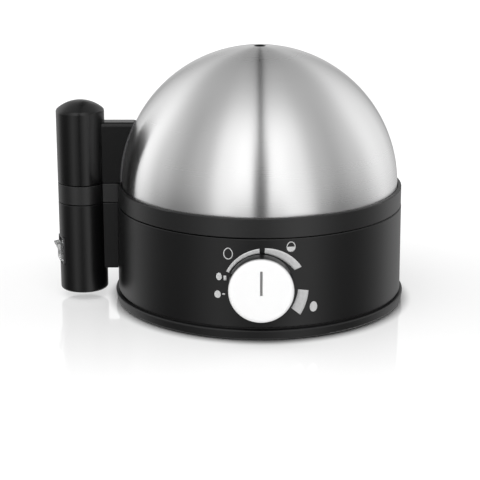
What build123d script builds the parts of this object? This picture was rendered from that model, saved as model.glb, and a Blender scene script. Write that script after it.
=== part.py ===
from build123d import *

# Electric egg cooker, in millimetres: a heated base, a lift-out tray for seven eggs and
# a steel dome, each with its own third of one upright handle.
# The origin is where the dome's axis meets the table. +Z is up, the knob faces -Y and
# the handle stands on the -X side.

import os
from math import cos, radians, sin, sqrt

# Play between pieces
lift_gap = 0.3
seam_gap = 0.4
guide_gap = 0.3
fit_gap = 0.1

# Round body
housing_top_radius = 90.8
housing_draft = 0.4
housing_wall = 2.4
foot_lip = 1.0
foot_flare = 0.9
foot_height = 7.2
shadow_gap = 1.0
deck_drop = 4.0
deck_thickness = 2.5

# Base plate and its cord store
plate_clearance = 1.0
plate_thickness = 2.2
neck_height = 3.8
neck_width = 2.0
channel_inset = 7.0
channel_width = 26.0
channel_depth = 14.0
hook_reach = 9.0
hook_width = 14.0
hook_count = 4
notch_width = 9.0
vent_count = 12
vent_length = 16.0
vent_width = 3.0
vent_radius = 30.0

# Foot ring
ring_inset = 2.2
ring_width = 5.0
ring_seat_depth = 1.0
ring_break = 13.0

# Screws and their pillars
screw_radius = 1.5
screw_head_radius = 2.8
screw_head_height = 2.2
screw_length = 14.0
screw_slot_length = 3.2
screw_slot_width = 0.8
screw_slot_depth = 0.9
pillar_radius = 4.0
pillar_inset = 7.4
pillar_angles = (45, 135, 225, 315)
pillar_rib = 2.0

# Cord inlet
inlet_angle = 120.0
inlet_bore = 3.6
inlet_wall = 1.7
inlet_flange_radius = 7.5
inlet_flange = 1.4

# Water dish and its gasket
dish_sheet = 0.8
dish_inset = 9.2
dish_flange_width = 10.5
dish_side_lean = 6.7
dish_depth = 16.4
gasket_seat_depth = 1.0
gasket_thickness = 1.4
gasket_lip = 0.5
deck_hole_gap = 1.4

# Heater under the dish
heater_inset = 2.0
heater_thickness = 3.6
element_inset = 10.0
element_radius = 3.25
element_drop = 1.4
element_collar_width = 8.6
element_collar_height = 2.4
element_break = 40.0
element_tail = 13.5
terminal_width = 6.3
terminal_sheet = 0.8
terminal_length = 6.0

# Clamp that pulls the dish down on its gasket
stud_radius = 2.0
bridge_angle = 160.0
bridge_gap = 1.75
bridge_sheet = 1.5
bridge_width = 16.0
bridge_flange_depth = 4.0
bridge_inset = 10.4
bridge_boss_radius = 4.5
bridge_end = 5.5
nut_height = 3.0
nut_flats = 7.0

# Heat shield, thermostat and fuse
shield_inset = 12.0
shield_sheet = 0.5
shield_rim = 5.5
shield_headroom = 4.4
stud_spare = 0.5
thermostat_radius = 8.0
thermostat_height = 8.0
thermostat_offset = 26.0
thermostat_ear = 26.0
thermostat_ear_width = 8.0
thermostat_ear_sheet = 0.8
thermostat_blade_offset = 4.0
fuse_radius = 2.0
fuse_length = 12.0
fuse_offset = -26.0
clip_sheet = 0.6
clip_width = 7.0
clip_reach = 9.0

# Power board and what stands on it
board_length = 60.0
board_width = 50.0
board_thickness = 1.6
post_height = 3.3
post_radius = 3.0
post_inset = 4.0
relay_size = (19.0, 15.5, 15.0)
relay_place = (-14.0, -9.0)
transformer_size = (22.0, 18.0, 15.5)
transformer_place = (13.0, -9.0)
capacitor_size = (18.0, 7.0, 12.0)
capacitor_place = (14.0, 11.0)
terminal_block_size = (16.0, 9.0, 11.0)
terminal_block_place = (-15.0, 14.0)
terminal_pitch = 5.0
terminal_mouth_height = 4.0
terminal_mouth_radius = 1.5
terminal_well_depth = 3.0
terminal_well_radius = 1.7
buzzer_radius = 5.0
buzzer_height = 7.5
buzzer_place = (0.0, 19.0)
lead_radius = 1.0
lead_bend = 4.0
lead_rise = 10.0
lead_inset = 3.0
lead_pitch = 3.0

# Knob and timer control
knob_height = 35.3
knob_radius = 19.4
knob_length = 12.6
knob_standoff = 1.4
knob_wall = 2.0
knob_front_wall = 2.2
knob_front_round = 2.6
hub_radius = 5.6
pointer_width = 1.4
pointer_depth = 0.6
pointer_start = -2.1
pointer_end = 12.7
knob_clip_inset = 1.8
knob_clip_width = 4.0
knob_clip_sheet = 0.65
knob_clip_opening = 5.0
boss_radius = 10.0
boss_rise = 0.8
boss_depth = 2.0
bushing_radius = 3.5
bushing_length = 8.2
spindle_radius = 3.0
spindle_flat = 1.5
spindle_tail = 1.9
control_radius = 8.25
control_depth = 8.4
control_nut_height = 2.0
control_nut_flats = 10.0
control_board_width = 44.0
control_board_drop = 13.5
control_board_height = 28.0

# Egg tray
tray_rise = 3.0
tray_sheet = 2.0
skirt_inset = 2.2
skirt_wall = 2.2
ledge_drop = 5.1
ledge_thickness = 2.2
band_inset = 0.2
band_height = 12.2
band_wall = 2.2
egg_hole_radius = 19.0
egg_pitch = 48.0
egg_count = 6
collar_wall = 2.0
collar_height = 3.5
collar_notch = 5.0
steam_hole_radius = 2.5
steam_slot_length = 9.0
steam_slot_width = 3.5

# Dome
dome_gap = 0.4
dome_sheet = 0.7
dome_rim_height = 4.2
hem_height = 1.6
vent_hole_radius = 3.0

# Handle, in three thirds
handle_radius = 15.3
web_reach = 7.2
handle_wall = 2.5
handle_bottom = 5.1
handle_bottom_round = 1.8
handle_shoulder_round = 2.5
handle_edge_round = 0.4
web_thickness = 13.0
web_bottom = 19.5
web_drop = 7.5
web_top_round = 2.5
web_foot_round = 1.0
lid_grip_length = 46.5
cap_rise = 6.1
cover_thickness = 2.4
cover_ledge = 0.8
stud_locator_radius = 5.0
stud_locator_height = 4.0
locator_wall = 2.0
duct_width = 8.0
duct_inset = 7.0
duct_height = 11.0
handle_screw_inset = 8.0
handle_screw_drop = 5.5
handle_screw_length = 12.0
lid_screw_elevations = (9.0, 20.0)
lid_screw_length = 14.0
pad_thickness = 1.0
pad_inset = 0.6

# Rocker switch in the handle
switch_height = 32.0
switch_turn = 20.0
switch_recess = 0.4
switch_depth = 14.6
switch_half_width = 6.2
switch_half_height = 8.8
switch_side_wall = 1.0
switch_end_wall = 1.2
switch_well_depth = 9.6
rocker_pivot_depth = 3.6
rocker_depth = 4.9
rocker_wing = 6.2
rocker_tilt = 13.0
rocker_pin_radius = 1.0
blade_width = 4.8
blade_length = 7.0
blade_pitch = 5.0
lamp_radius = 1.5
lamp_length = 8.0

# Circles that follow from the sizes above
housing_bottom_radius = housing_top_radius + housing_draft
foot_bottom_radius = housing_bottom_radius + foot_lip
foot_top_radius = foot_bottom_radius + foot_flare
ring_outer_radius = foot_bottom_radius - ring_inset
ring_inner_radius = ring_outer_radius - ring_width
wall_inner_radius = housing_top_radius - housing_wall
pillar_circle = wall_inner_radius - pillar_inset
channel_outer_radius = pillar_circle - channel_inset
channel_inner_radius = channel_outer_radius - channel_width
inlet_circle = (channel_inner_radius + channel_outer_radius) / 2
dish_flange_radius = wall_inner_radius - dish_inset
dish_mouth_radius = dish_flange_radius - dish_flange_width
dish_floor_radius = dish_mouth_radius - dish_side_lean
deck_hole_radius = dish_mouth_radius + dish_sheet + deck_hole_gap
gasket_inner_radius = deck_hole_radius + fit_gap
heater_radius = dish_floor_radius - heater_inset
element_circle = heater_radius - element_inset
bridge_circle = wall_inner_radius - bridge_inset
shield_radius = bridge_circle - shield_inset
boss_face = housing_bottom_radius + boss_rise
boss_back = wall_inner_radius - boss_depth
skirt_radius = wall_inner_radius - skirt_inset
skirt_inner_radius = skirt_radius - skirt_wall
band_radius = housing_top_radius - band_inset
band_inner_radius = band_radius - band_wall
steam_slot_circle = (egg_pitch + egg_hole_radius + collar_wall + skirt_inner_radius) / 2
dome_radius = band_inner_radius - dome_gap
handle_offset = housing_bottom_radius + web_reach + handle_radius
handle_inner = handle_radius - handle_wall
switch_face = handle_radius - switch_recess
switch_back = switch_face - switch_depth
switch_well = switch_face - switch_well_depth
rocker_pivot = switch_face - rocker_pivot_depth
post_x = board_length / 2 - post_inset
post_y = board_width / 2 - post_inset

# Levels that follow from the sizes above, from the table upwards
plate_top = plate_clearance + plate_thickness
housing_bottom = foot_height + shadow_gap
channel_top = plate_clearance + channel_depth
trough_top = channel_top + plate_thickness
board_bottom = plate_top + post_height
board_top = board_bottom + board_thickness
shield_bottom = board_top + transformer_size[2] + shield_headroom
shield_top = shield_bottom + shield_sheet
shield_rim_bottom = shield_top - shield_rim
lead_level = (trough_top + shield_rim_bottom) / 2
bridge_bottom = shield_top + nut_height
bridge_top = bridge_bottom + bridge_sheet
stud_end = shield_bottom - nut_height - stud_spare
element_height = bridge_top + bridge_gap + element_radius
heater_bottom = element_height + element_drop
heater_top = heater_bottom + heater_thickness
dish_floor = heater_top + dish_sheet
dish_top = dish_floor + dish_depth
dish_flange_bottom = dish_top - dish_sheet
gasket_seat = dish_flange_bottom - gasket_thickness
deck_top = gasket_seat + gasket_seat_depth
deck_bottom = deck_top - deck_thickness
seam_height = deck_top + deck_drop
handle_screw_heights = (web_bottom + handle_screw_inset, deck_bottom - handle_screw_drop)
duct_bottom = handle_screw_heights[0] + duct_inset
duct_top = duct_bottom + duct_height
band_bottom = seam_height + seam_gap
band_top = band_bottom + band_height
ledge_top = band_top - ledge_drop
tray_bottom = deck_top + tray_rise
tray_top = tray_bottom + tray_sheet
skirt_bottom = deck_top + lift_gap
dome_bottom = ledge_top + lift_gap
dome_centre = dome_bottom + dome_rim_height
lid_handle_bottom = band_top + seam_gap
cap_rim_height = lid_handle_bottom + lid_grip_length
web_top = cap_rim_height - web_drop
knob_back = boss_face + knob_standoff
knob_front = knob_back + knob_length


def turned(points, rounds=0.0):
    """Turn a closed outline of (radius, height) corners about the upright axis."""
    corners = [(radius, 0, height) for radius, height in points]
    outline = FilletPolyline(*corners, radius=rounds, close=True)
    return revolve(make_face(outline), Axis.Z)


def pipe_ring(inner, outer, bottom, top):
    """A plain flat ring."""
    return upright(outer, bottom, top) - upright(inner, bottom - 1, top + 1)


def upright(radius, bottom, top, place=(0, 0)):
    """An upright cylinder between two heights."""
    body = Cylinder(radius, top - bottom, align=(Align.CENTER, Align.CENTER, Align.MIN))
    return Pos(place[0], place[1], bottom) * body


def block(x, y, z):
    """A box from its ranges along the three axes."""
    size = [high - low for low, high in (x, y, z)]
    return Pos(x[0], y[0], z[0]) * Box(*size, align=(Align.MIN, Align.MIN, Align.MIN))


def standing_block(size, place, bottom):
    """A box of the given size that stands on a level."""
    body = Box(*size, align=(Align.CENTER, Align.CENTER, Align.MIN))
    return Pos(place[0], place[1], bottom) * body


def around(circle, angle):
    """The place on a circle at an angle in degrees."""
    return (circle * cos(radians(angle)), circle * sin(radians(angle)))


def hex_nut(flats, bore, bottom, top, place=(0, 0)):
    """A hexagon nut that stands upright."""
    outline = RegularPolygon(flats / 2, 6, major_radius=False)
    body = Pos(place[0], place[1], bottom) * extrude(outline, top - bottom)
    return body - upright(bore, bottom - 1, top + 1, place)


def screw(length):
    """A screw whose head's underside is at the origin, with its shank along +Z."""
    head = upright(screw_head_radius, -screw_head_height, 0)
    half_length, half_width = screw_slot_length / 2, screw_slot_width / 2
    slot = block((-half_length, half_length), (-half_width, half_width),
                 (-screw_head_height - 1, -screw_head_height + screw_slot_depth))
    return head - slot + upright(screw_radius, 0, length)


def screw_hole(depth):
    """The hole that a screw from the origin along +Z runs into."""
    return upright(screw_radius + fit_gap, -1, depth)


def facing(origin, direction):
    """A frame at a point whose +Z runs along a direction."""
    return Plane(origin=origin, z_dir=direction)


def write(node, *pieces):
    """Write the pieces of one node as one STEP file."""
    solids = [solid for piece in pieces for solid in piece.solids()]
    body = solids[0] if len(solids) == 1 else Compound(children=solids)
    body.label = node
    export_step(body, f"parts/{node}.step")


# Frames of the knob and of the rocker switch
knob_frame = Plane(origin=(0, 0, knob_height), x_dir=(1, 0, 0), z_dir=(0, -1, 0))
switch_frame = Location((-handle_offset, 0, switch_height), (0, 0, 180 + switch_turn))


def base_plate_body():
    """The plate turned in one piece, with its rim, neck and inverted cord trough."""
    trough_inner = channel_inner_radius - plate_thickness
    trough_outer = channel_outer_radius + plate_thickness
    neck_radius = wall_inner_radius - fit_gap
    shoulder = housing_bottom_radius - shadow_gap
    ring_groove = plate_clearance + ring_seat_depth
    points = (
        (0, plate_clearance),
        (channel_inner_radius, plate_clearance),
        (channel_inner_radius, channel_top),
        (channel_outer_radius, channel_top),
        (channel_outer_radius, plate_clearance),
        (ring_inner_radius - fit_gap, plate_clearance),
        (ring_inner_radius - fit_gap, ring_groove),
        (ring_outer_radius + fit_gap, ring_groove),
        (ring_outer_radius + fit_gap, plate_clearance),
        (foot_bottom_radius, plate_clearance),
        (foot_top_radius, foot_height),
        (shoulder, foot_height),
        (shoulder, housing_bottom),
        (neck_radius, housing_bottom),
        (neck_radius, housing_bottom + neck_height),
        (neck_radius - neck_width, housing_bottom + neck_height),
        (neck_radius - neck_width, plate_top),
        (trough_outer, plate_top),
        (trough_outer, trough_top),
        (trough_inner, trough_top),
        (trough_inner, plate_top),
        (0, plate_top),
    )
    rounds = [0] * len(points)
    rounds[2] = rounds[3] = 2.0
    rounds[9] = 1.6
    rounds[10] = 1.0
    rounds[18] = rounds[19] = 3.0
    return turned(points, rounds)


def cord_hooks():
    """Tabs on the hub's lower edge that keep the wound cord in its channel."""
    reach = channel_inner_radius + hook_reach
    tab = block((channel_inner_radius - 1, reach), (-hook_width / 2, hook_width / 2),
                (plate_clearance, plate_top))
    tab = fillet(tab.edges().filter_by(Axis.Z).sort_by(Axis.X)[-2:], 3.0)
    return [Rot(0, 0, 360 / hook_count * (step + 0.5)) * tab for step in range(hook_count)]


def base_plate():
    """Floor of the base: cord store below, neck and board posts above."""
    plate = base_plate_body()
    for tab in cord_hooks():
        plate += tab
    for angle in pillar_angles:
        place = around(pillar_circle, angle)
        plate += upright(pillar_radius, plate_top, plate_top + plate_thickness, place)
        plate -= upright(screw_head_radius + guide_gap, 0, plate_top, place)
        plate -= upright(screw_radius + fit_gap, 0, foot_height, place)
    for x in (-post_x, post_x):
        for y in (-post_y, post_y):
            plate += upright(post_radius, plate_top, board_bottom, (x, y))
            plate -= upright(screw_radius + fit_gap, plate_top - 0.6, board_bottom + 1, (x, y))
    slot = extrude(SlotOverall(vent_length, vent_width), foot_height)
    for step in range(vent_count):
        plate -= Rot(0, 0, 360 / vent_count * step) * (Pos(vent_radius, 0, 0) * slot)
    plate -= block((-notch_width / 2, notch_width / 2),
                   (channel_outer_radius - 1, foot_top_radius + 1), (-1, foot_height))
    inlet = around(inlet_circle, inlet_angle)
    plate -= upright(inlet_bore + inlet_wall + fit_gap, channel_top - 1, trough_top + 1, inlet)
    return plate


def foot_ring():
    """Non-slip ring under the rim, open where the cord leaves."""
    top = plate_clearance + ring_seat_depth
    ring = pipe_ring(ring_inner_radius, ring_outer_radius, 0, top)
    gap = block((-ring_break / 2, ring_break / 2), (0, ring_outer_radius + 1), (-1, top + 1))
    return ring - gap


def base_plate_screws():
    """Screws from below, through the plate into the housing's pillars."""
    return [Pos(*around(pillar_circle, angle), plate_top) * screw(screw_length)
            for angle in pillar_angles]


def cord_bushing():
    """Grommet in the cord channel's ceiling, where the mains cord enters."""
    place = around(inlet_circle, inlet_angle)
    waist = inlet_bore + inlet_wall
    body = upright(waist, channel_top - inlet_flange, trough_top + inlet_flange, place)
    body += upright(inlet_flange_radius, channel_top - inlet_flange, channel_top, place)
    body += upright(waist + 1.0, trough_top, trough_top + inlet_flange, place)
    return body - upright(inlet_bore, 0, seam_height, place)


def housing_shell():
    """The tapered wall and the deck that carries the water dish."""
    top_inner = wall_inner_radius
    bottom_inner = housing_bottom_radius - housing_wall
    seat_radius = dish_flange_radius + 2 * gasket_lip
    points = (
        (housing_bottom_radius, housing_bottom),
        (housing_top_radius, seam_height),
        (top_inner, seam_height),
        (top_inner, deck_top),
        (seat_radius, deck_top),
        (seat_radius, gasket_seat),
        (deck_hole_radius, gasket_seat),
        (deck_hole_radius, deck_bottom),
        (top_inner, deck_bottom),
        (bottom_inner, housing_bottom),
    )
    rounds = [0] * len(points)
    rounds[0] = rounds[1] = 0.5
    return turned(points, rounds)


def screw_pillars():
    """Pillars under the deck, each tied to the wall by a rib."""
    foot = plate_top + plate_thickness
    rib_end = wall_inner_radius + housing_wall / 3
    pillars = []
    for angle in pillar_angles:
        pillar = upright(pillar_radius, foot, deck_bottom + 1, (pillar_circle, 0))
        pillar += block((pillar_circle, rib_end), (-pillar_rib / 2, pillar_rib / 2),
                        (housing_bottom + 2 * neck_height, deck_bottom + 1))
        pillar -= Pos(pillar_circle, 0, foot) * screw_hole(screw_length)
        pillars.append(Rot(0, 0, angle) * pillar)
    return pillars


def bridge_bosses():
    """Two bosses under the deck that take the ends of the clamp bridge."""
    rib_end = wall_inner_radius + housing_wall / 3
    bosses = []
    for angle in (bridge_angle, bridge_angle + 180):
        boss = upright(bridge_boss_radius, bridge_top, deck_bottom + 1, (bridge_circle, 0))
        boss += block((bridge_circle, rib_end), (-pillar_rib / 2, pillar_rib / 2),
                      (bridge_top, deck_bottom + 1))
        boss -= Pos(bridge_circle, 0, bridge_top) * screw_hole(screw_length)
        bosses.append(Rot(0, 0, angle) * boss)
    return bosses


def housing():
    """Outer shell of the base, with its knob boss, pillars and handle openings."""
    shell = housing_shell()
    shell += knob_frame * upright(boss_radius, boss_back, boss_face)
    for support in screw_pillars() + bridge_bosses():
        shell += support
    shell -= knob_frame * upright(bushing_radius + fit_gap, boss_back - 1, boss_face + 1)
    shell -= block((-housing_bottom_radius - 1, -pillar_circle),
                   (-duct_width / 2, duct_width / 2), (duct_bottom, duct_top))
    for height in handle_screw_heights:
        into_wall = facing((-wall_inner_radius, 0, height), (-1, 0, 0))
        shell -= into_wall * upright(screw_radius + 2 * fit_gap, -3, housing_wall + 3)
    return shell


def dish_gasket():
    """Silicone ring between the deck and the dish, with a lip round the dish's edge."""
    inner_lip = dish_flange_radius + gasket_lip / 2
    outer_lip = inner_lip + gasket_lip
    points = (
        (gasket_inner_radius, gasket_seat),
        (outer_lip, gasket_seat),
        (outer_lip, dish_top + 0.2),
        (inner_lip, dish_top + 0.2),
        (inner_lip, dish_flange_bottom),
        (gasket_inner_radius, dish_flange_bottom),
    )
    return turned(points)


def heating_dish():
    """Pressed water dish with a flat flange and a stud welded under its floor."""
    lean = (dish_mouth_radius - dish_floor_radius) / dish_depth
    side = dish_sheet * sqrt(1 + lean ** 2)
    floor_outer = dish_floor_radius - dish_sheet * lean + side
    mouth_outer = dish_mouth_radius - dish_sheet * lean + side
    points = (
        (0, dish_floor),
        (dish_floor_radius, dish_floor),
        (dish_mouth_radius, dish_top),
        (dish_flange_radius, dish_top),
        (dish_flange_radius, dish_flange_bottom),
        (mouth_outer, dish_flange_bottom),
        (floor_outer, heater_top),
        (0, heater_top),
    )
    rounds = (0, 4.0, 2.4, 0, 0, 1.6, 4.8, 0)
    return turned(points, rounds) + upright(stud_radius, stud_end, heater_top)


def heater_ring(radius):
    """A round tube on the heater's circle."""
    return Pos(0, 0, element_height) * Torus(element_circle, radius)


def heater_plate():
    """Cast plate that spreads the heat, with a collar round the heater tube."""
    plate = upright(heater_radius, heater_bottom, heater_top)
    half = element_collar_width / 2
    plate += pipe_ring(element_circle - half, element_circle + half,
                       heater_bottom - element_collar_height, heater_bottom)
    plate -= heater_ring(element_radius + fit_gap)
    for place in element_ends():
        plate -= upright(element_radius + 3 * fit_gap, 0, element_height, place)
    return plate - upright(stud_radius + guide_gap, heater_bottom - 1, heater_top + 1)


def element_ends():
    """The two places on the heater's circle where its ends turn down."""
    return [around(element_circle, 90 + side * element_break / 2) for side in (-1, 1)]


def heating_element():
    """Tubular heater: nearly a full ring, with two ends turned down."""
    reach = 2 * element_circle
    half_break = radians(element_break / 2)
    opening = Polyline((0, 0), (reach * sin(half_break), reach * cos(half_break)),
                       (-reach * sin(half_break), reach * cos(half_break)), close=True)
    wedge = Pos(0, 0, deck_bottom - reach) * extrude(make_face(opening), reach)
    ring = heater_ring(element_radius) - wedge
    for place in element_ends():
        ring += Pos(*place, element_height) * Sphere(element_radius)
        ring += upright(element_radius, element_height - element_tail, element_height, place)
    return ring


def element_terminals():
    """A flat blade on each end of the heater."""
    top = element_height - element_tail
    size = (terminal_width, terminal_sheet, terminal_length)
    return [standing_block(size, place, top - terminal_length) for place in element_ends()]


def clamp_bridge():
    """Steel strip under the heater, from boss to boss, stiffened by turned edges."""
    reach = bridge_circle + bridge_end
    half = bridge_width / 2
    strip = block((-reach, reach), (-half, half), (bridge_bottom, bridge_top))
    strip = fillet(strip.edges().filter_by(Axis.Z), 5.0)
    flange_reach = shield_radius
    for side in (-1, 1):
        y = sorted((side * half, side * (half - bridge_sheet)))
        strip += block((-flange_reach, flange_reach), y,
                       (bridge_top - bridge_flange_depth, bridge_top))
    strip -= upright(stud_radius + guide_gap, 0, seam_height)
    for x in (-bridge_circle, bridge_circle):
        strip -= upright(screw_radius + guide_gap, 0, seam_height, (x, 0))
    return Rot(0, 0, bridge_angle) * strip


def bridge_screws():
    """Screws that hold the bridge's ends to the bosses."""
    return [Pos(*around(bridge_circle, angle), bridge_bottom) * screw(screw_length)
            for angle in (bridge_angle, bridge_angle + 180)]


def clamp_nuts():
    """Nuts on the dish's stud: one pulls the bridge, one holds the heat shield."""
    bore = stud_radius + fit_gap / 2
    upper = hex_nut(nut_flats, bore, shield_top, bridge_bottom)
    lower = hex_nut(nut_flats, bore, shield_bottom - nut_height, shield_bottom)
    return [upper, lower]


def heat_shield():
    """Thin disc with a turned-down rim between the heater and the electrics."""
    inner = shield_radius - shield_sheet
    points = (
        (0, shield_bottom),
        (inner, shield_bottom),
        (inner, shield_rim_bottom),
        (shield_radius, shield_rim_bottom),
        (shield_radius, shield_top),
        (0, shield_top),
    )
    shield = turned(points)
    shield -= upright(stud_radius + fit_gap, 0, seam_height)
    shield -= upright(thermostat_radius + 2, 0, seam_height, (0, thermostat_offset))
    for place in element_ends():
        shield -= upright(element_radius + 2.5, 0, seam_height, place)
    return shield


def thermostat():
    """Snap-disc thermostat, its ears flat against the heater plate."""
    place = (0, thermostat_offset)
    body = upright(thermostat_radius, heater_bottom - thermostat_height, heater_bottom, place)
    ear = standing_block((thermostat_ear, thermostat_ear_width, thermostat_ear_sheet), place,
                         heater_bottom - thermostat_ear_sheet)
    body += fillet(ear.edges().filter_by(Axis.Z), 3.0)
    low = heater_bottom - thermostat_height
    for x in (-thermostat_blade_offset, thermostat_blade_offset):
        body += standing_block((terminal_sheet, terminal_width, terminal_length),
                               (x, thermostat_offset), low - terminal_length)
    return body


def thermal_fuse():
    """Cylindrical one-shot fuse that lies under the heater plate."""
    height = heater_bottom - fuse_radius - fit_gap
    along_x = facing((-fuse_length / 2, fuse_offset, height), (1, 0, 0))
    return along_x * upright(fuse_radius, 0, fuse_length)


def fuse_clip():
    """Bent strap that holds the fuse against the heater plate."""
    height = heater_bottom - fuse_radius - fit_gap
    inner = fuse_radius + fit_gap
    outer = inner + clip_sheet
    half = clip_width / 2
    across = facing((-half, fuse_offset, height), (1, 0, 0))
    strap = across * upright(outer, 0, clip_width)
    strap += block((-half, half), (fuse_offset - outer, fuse_offset + outer),
                   (height, heater_bottom))
    strap += block((-half, half), (fuse_offset - clip_reach, fuse_offset + clip_reach),
                   (heater_bottom - clip_sheet, heater_bottom))
    strap -= across * upright(inner, -1, clip_width + 1)
    strap -= block((-clip_width, clip_width), (fuse_offset - inner, fuse_offset + inner),
                   (height, heater_top))
    return strap - block((-clip_width, clip_width), (fuse_offset - outer - 1, fuse_offset + outer + 1),
                         (heater_bottom, heater_top))


def power_board():
    """Circuit board on the base plate's four posts."""
    half_x, half_y = board_length / 2, board_width / 2
    board = block((-half_x, half_x), (-half_y, half_y), (board_bottom, board_top))
    for x in (-post_x, post_x):
        for y in (-post_y, post_y):
            board -= upright(screw_radius + fit_gap, 0, seam_height, (x, y))
    return board


def board_screws():
    """Screws that hold the power board to its posts."""
    down = Rot(180, 0, 0) * screw(board_thickness + post_height - fit_gap)
    return [Pos(x, y, board_top) * down for x in (-post_x, post_x) for y in (-post_y, post_y)]


def terminal_block():
    """Screw terminal for the mains leads, with three wire mouths."""
    body = standing_block(terminal_block_size, terminal_block_place, board_top)
    x, y = terminal_block_place
    top = board_top + terminal_block_size[2]
    for step in (-1, 0, 1):
        across = x + terminal_pitch * step
        mouth = facing((across, y + 1, board_top + terminal_mouth_height), (0, 1, 0))
        body -= mouth * upright(terminal_mouth_radius, 0, terminal_block_size[1])
        body -= upright(terminal_well_radius, top - terminal_well_depth, top + 1, (across, y))
    return body


def buzzer():
    """Round sounder with a small hole in its top."""
    top = board_top + buzzer_height
    can = upright(buzzer_radius, board_top, top, buzzer_place)
    return can - upright(1.0, top - 3, top + 1, buzzer_place)


def lead(points):
    """One insulated wire along straight runs and round bends."""
    path = FilletPolyline(*points, radius=lead_bend)
    start = Plane(origin=path @ 0, z_dir=path % 0)
    return sweep(start * Circle(lead_radius), path)


def wiring_leads():
    """Wires from the power board to the switch, the heater and the timer control."""
    board_edge = board_length / 2 - lead_inset
    wall_run = -(channel_outer_radius + plate_thickness + wall_inner_radius) / 2
    blade_x = -handle_offset - (switch_back - blade_length) + lead_bend / 2
    leads = []
    for side in (-1, 1):
        y = 2.2 * side
        duct_level = (duct_bottom + duct_top) / 2 + 2 * side
        leads.append(lead((
            (-board_edge, y, board_top), (-board_edge, y, lead_level),
            (wall_run, y, lead_level), (wall_run, y, duct_level),
            (blade_x, y, duct_level))))
    for side, place in zip((1, -1), element_ends()):
        x, y = place
        leads.append(lead((
            (side * board_edge, 8, board_top), (side * board_edge, 8, lead_level),
            (x, y - terminal_sheet / 2 - lead_radius, lead_level))))
    control_y = -(boss_back - control_depth - board_thickness) + fit_gap
    start, turn = lead_inset - board_width / 2, control_y + 2 * lead_bend
    for x in (-lead_pitch, 0, lead_pitch):
        leads.append(lead((
            (x, start, board_top), (x, start, lead_level), (x, turn, lead_level),
            (x, turn, lead_level + lead_rise), (x, control_y, lead_level + lead_rise))))
    return leads


def potentiometer():
    """Timer control: a round body with a threaded bushing through the housing."""
    back = boss_back - control_depth
    body = upright(control_radius, back, boss_back)
    body += upright(bushing_radius, boss_back - 1, boss_back + bushing_length)
    bore = upright(spindle_radius + fit_gap, boss_back - spindle_tail - 0.5, knob_front)
    return knob_frame * (body - bore)


def potentiometer_nut():
    """Flat nut that holds the bushing from outside, under the knob."""
    bore = bushing_radius + fit_gap / 2
    nut = hex_nut(control_nut_flats, bore, boss_face, boss_face + control_nut_height)
    return knob_frame * nut


def control_board():
    """Small upright board carried by the timer control."""
    top = boss_back - control_depth
    half = control_board_width / 2
    heights = (-control_board_drop, control_board_height - control_board_drop)
    return knob_frame * block((-half, half), heights, (top - board_thickness, top))


def knob_hub_back():
    """How far out the knob's hub starts, clear of the bushing and its nut."""
    return boss_back + bushing_length + 2 * guide_gap


def knob_cap():
    """Turned knob with a round-edged face, a hollow back and a hub."""
    roof = knob_front - knob_front_wall
    hub_back = knob_hub_back()
    points = (
        (0, knob_front),
        (knob_radius, knob_front),
        (knob_radius, knob_back),
        (knob_radius - knob_wall, knob_back),
        (knob_radius - knob_wall, roof),
        (hub_radius, roof),
        (hub_radius, hub_back),
        (0, hub_back),
    )
    rounds = (0, knob_front_round, 0.5, 0.5, 1.0, 1.0, 0, 0)
    cap = turned(points, rounds)
    bore = upright(spindle_radius + fit_gap / 2, hub_back - 1, roof - 0.5)
    flat = spindle_flat + fit_gap / 2
    bore -= block((-hub_radius, hub_radius), (flat, hub_radius), (hub_back - 2, roof + 1))
    slot = pointer_blank(pointer_width + fit_gap, knob_front + 1)
    return knob_frame * (cap - bore - slot)


def pointer_blank(width, top):
    """The pointer's bar, from its floor in the knob's face."""
    return block((-width / 2, width / 2), (pointer_start, pointer_end),
                 (knob_front - pointer_depth, top))


def knob_pointer():
    """Grey bar let into the knob's face."""
    return knob_frame * pointer_blank(pointer_width, knob_front + fit_gap)


def knob_shaft():
    """Spindle of the timer control, with a flat for the knob."""
    tail = boss_back - spindle_tail
    tip = knob_front - knob_front_wall - 1.0
    spindle = upright(spindle_radius, tail, tip)
    flat = block((-hub_radius, hub_radius), (spindle_flat, hub_radius), (knob_hub_back(), tip + 1))
    return knob_frame * (spindle - flat)


def knob_clip():
    """Open spring ring that squeezes the hub onto the spindle."""
    low = knob_hub_back() + knob_clip_inset
    high = low + knob_clip_width
    inner = hub_radius + fit_gap / 2
    ring = pipe_ring(inner, inner + knob_clip_sheet, low, high)
    half = knob_clip_opening / 2
    gap = block((-half, half), (-2 * hub_radius, 0), (low - 1, high + 1))
    return knob_frame * (ring - gap)


def handle_cylinder(radius, bottom, top):
    """An upright cylinder on the handle's axis."""
    return upright(radius, bottom, top, (-handle_offset, 0))


def grip_third(bottom, top, bottom_round, top_round):
    """One third of the round grip, with a round at each end."""
    grip = handle_cylinder(handle_radius, bottom, top)
    ends = grip.edges().filter_by(GeomType.CIRCLE).sort_by(Axis.Z)
    return fillet(ends[-1], top_round).fillet(bottom_round, [ends[0]])


def web_block(bottom, top, inner_end, bottom_round, top_round):
    """The flat web between the grip and the body, with its long edges rounded."""
    half = web_thickness / 2
    web = block((-handle_offset, -inner_end), (-half, half), (bottom, top))
    lengthwise = web.edges().filter_by(Axis.X).sort_by(Axis.Z)
    web = fillet(lengthwise[-2:], top_round)
    lengthwise = web.edges().filter_by(Axis.X).sort_by(Axis.Z)
    return fillet(lengthwise[:2], bottom_round)


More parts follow.
